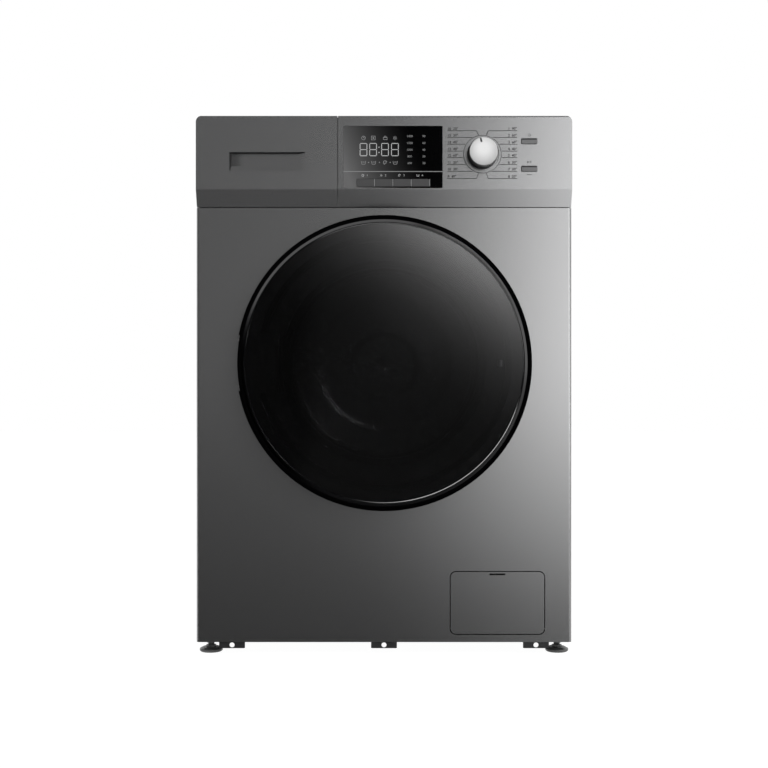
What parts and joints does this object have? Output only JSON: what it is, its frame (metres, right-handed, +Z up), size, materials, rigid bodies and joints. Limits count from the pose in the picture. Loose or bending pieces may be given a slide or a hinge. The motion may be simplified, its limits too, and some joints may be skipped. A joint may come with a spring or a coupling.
{
  "type": "front-loading washing machine",
  "caption": "Free-standing front-loading washing machine with a round smoked glass door, detergent drawer, programme knob, display and a belt-driven drum hung in a sprung tub.",
  "frame": {"origin": "on the floor, in the middle of the machine's whole width and depth", "axes": "+Z up, the front with door and controls faces -Y, +X to the right as seen from the front"},
  "size_m": [0.595, 0.594, 0.853],
  "materials": {
    "grey_paint": "metallic grey satin paint on steel sheet",
    "zinc_sheet": "zinc-coated steel, dull",
    "grey_plastic": "metallic grey lacquered plastic",
    "smoked_window": "smoked clear plastic over a dark print",
    "dark_key": "dark gloss plastic",
    "silver_key": "silver gloss plastic",
    "silver_knob": "satin silver plastic",
    "black_ring": "black gloss plastic",
    "smoked_glass": "smoked polished glass",
    "clear_glass": "clear pressed glass",
    "dark_plastic": "dark grey moulded plastic",
    "white_plastic": "off-white moulded plastic",
    "blue_plastic": "blue moulded plastic",
    "tub_plastic": "filled grey moulded plastic",
    "grey_rubber": "soft grey moulded rubber",
    "black_rubber": "black rubber",
    "stainless": "polished stainless steel sheet",
    "steel": "machined steel",
    "cast_alloy": "die-cast alloy",
    "concrete": "cast concrete",
    "board_green": "circuit board laminate",
    "laminate": "grey laminate on board"
  },
  "bodies": {
    "cabinet": {"base_frame": "zinc_sheet", "side_panel_left": "grey_paint", "side_panel_right": "grey_paint", "rear_panel": "zinc_sheet", "rear_access_cover": "zinc_sheet", "front_panel": "grey_paint", "top_panel": "laminate", "top_frame": "zinc_sheet", "cabinet_screws": "steel", "rear_plugs": "dark_plastic", "control_panel": "grey_plastic", "display_window": "smoked_window", "control_board": "board_green", "dispenser_housing": "white_plastic", "inlet_valve": "white_plastic", "drain_outlet": "dark_plastic", "drain_pump": "white_plastic", "filter_surround": "dark_plastic", "internal_hoses": "black_rubber", "door_gasket": "grey_rubber", "hinge_bracket": "steel", "hinge_pin": "steel", "door_lock": "dark_plastic", "suspension_springs": "steel", "dampers": "dark_plastic"},
    "door": {"door_ring": "black_ring", "door_glass": "smoked_glass", "door_inner_frame": "dark_plastic", "door_bowl": "clear_glass", "hinge_arm": "cast_alloy"},
    "latch": {"latch_hook": "steel"},
    "drawer": {"drawer_front": "grey_plastic", "drawer_tray": "white_plastic", "siphon_cap": "blue_plastic"},
    "knob": {"programme_knob": "silver_knob"},
    "power_key": {"power_button": "silver_key"},
    "start_key": {"start_button": "silver_key"},
    "flap": {"filter_flap": "grey_plastic"},
    "filter": {"pump_filter": "dark_plastic"},
    "tub": {"tub_front": "tub_plastic", "tub_rear": "tub_plastic", "counterweights": "concrete", "heater": "stainless", "bearings": "steel", "motor": "cast_alloy", "drive_belt": "black_rubber"},
    "drum": {"drum_shell": "stainless", "drum_lifters": "dark_plastic", "drum_spider": "cast_alloy", "drum_shaft": "steel", "drum_pulley": "cast_alloy"},
    "rotor": {"motor_pulley": "steel"},
    "option_key_1": {"option_button_1": "dark_key"},
    "option_key_2": {"option_button_2": "dark_key"},
    "option_key_3": {"option_button_3": "dark_key"},
    "option_key_4": {"option_button_4": "dark_key"},
    "levelling_front_left": {"foot_front_left": "black_rubber"},
    "levelling_front_right": {"foot_front_right": "black_rubber"},
    "levelling_rear_left": {"foot_rear_left": "black_rubber"},
    "levelling_rear_right": {"foot_rear_right": "black_rubber"}
  },
  "joints": [
    {"name": "door_swing", "type": "hinge", "parent": "cabinet", "child": "door", "pos_m": [-0.222, -0.271, 0.463], "axis": [0, 0, -1], "range_deg": [0, 125]},
    {"name": "latch_pivot", "type": "hinge", "parent": "door", "child": "latch", "pos_m": [0.184, -0.263, 0.463], "axis": [0, 0, 1], "range_deg": [0, 9], "stiffness_Nm_per_rad": 0.4},
    {"name": "drawer_slide", "type": "slide", "parent": "cabinet", "child": "drawer", "axis": [0, -1, 0], "range_m": [0, 0.2]},
    {"name": "knob_turn", "type": "hinge", "parent": "cabinet", "child": "knob", "pos_m": [0.1548, -0.271, 0.7916], "axis": [0, -1, 0], "continuous": true},
    {"name": "power_press", "type": "slide", "parent": "cabinet", "child": "power_key", "axis": [0, 1, 0], "range_m": [0, 0.0015], "stiffness_N_per_m": 800},
    {"name": "start_press", "type": "slide", "parent": "cabinet", "child": "start_key", "axis": [0, 1, 0], "range_m": [0, 0.0015], "stiffness_N_per_m": 800},
    {"name": "option_press_1", "type": "slide", "parent": "cabinet", "child": "option_key_1", "axis": [0, 1, 0], "range_m": [0, 0.0015], "stiffness_N_per_m": 800},
    {"name": "option_press_2", "type": "slide", "parent": "cabinet", "child": "option_key_2", "axis": [0, 1, 0], "range_m": [0, 0.0015], "stiffness_N_per_m": 800},
    {"name": "option_press_3", "type": "slide", "parent": "cabinet", "child": "option_key_3", "axis": [0, 1, 0], "range_m": [0, 0.0015], "stiffness_N_per_m": 800},
    {"name": "option_press_4", "type": "slide", "parent": "cabinet", "child": "option_key_4", "axis": [0, 1, 0], "range_m": [0, 0.0015], "stiffness_N_per_m": 800},
    {"name": "flap_fold", "type": "hinge", "parent": "cabinet", "child": "flap", "pos_m": [0.1798, -0.254, 0.0421], "axis": [1, 0, 0], "range_deg": [0, 90]},
    {"name": "filter_turn", "type": "hinge", "parent": "cabinet", "child": "filter", "pos_m": [0.1798, -0.2367, 0.0831], "axis": [0, 1, 0], "range_deg": [0, 180]},
    {"name": "tub_float", "type": "slide", "parent": "cabinet", "child": "tub", "axis": [0, 0, 1], "range_m": [-0.01, 0.01], "stiffness_N_per_m": 9000, "springref_m": 0.02874, "deforming": ["suspension_springs", "dampers", "door_gasket", "internal_hoses"]},
    {"name": "drum_spin", "type": "hinge", "parent": "tub", "child": "drum", "pos_m": [0, 0.173, 0.463], "axis": [0, -1, 0], "continuous": true},
    {"name": "motor_spin", "type": "hinge", "parent": "tub", "child": "rotor", "pos_m": [-0.19387, 0.25, 0.18613], "axis": [0, -1, 0], "continuous": true},
    {"name": "foot_turn_front_left", "type": "hinge", "parent": "cabinet", "child": "levelling_front_left", "pos_m": [-0.2785, -0.221, 0], "axis": [0, 0, 1], "continuous": true},
    {"name": "foot_turn_front_right", "type": "hinge", "parent": "cabinet", "child": "levelling_front_right", "pos_m": [0.2785, -0.221, 0], "axis": [0, 0, 1], "continuous": true},
    {"name": "foot_turn_rear_left", "type": "hinge", "parent": "cabinet", "child": "levelling_rear_left", "pos_m": [-0.2785, 0.247, 0], "axis": [0, 0, 1], "continuous": true},
    {"name": "foot_turn_rear_right", "type": "hinge", "parent": "cabinet", "child": "levelling_rear_right", "pos_m": [0.2785, 0.247, 0], "axis": [0, 0, 1], "continuous": true}
  ],
  "couplings": [
    {"joint": "motor_spin", "follows": "drum_spin", "ratio": 13.182}
  ]
}
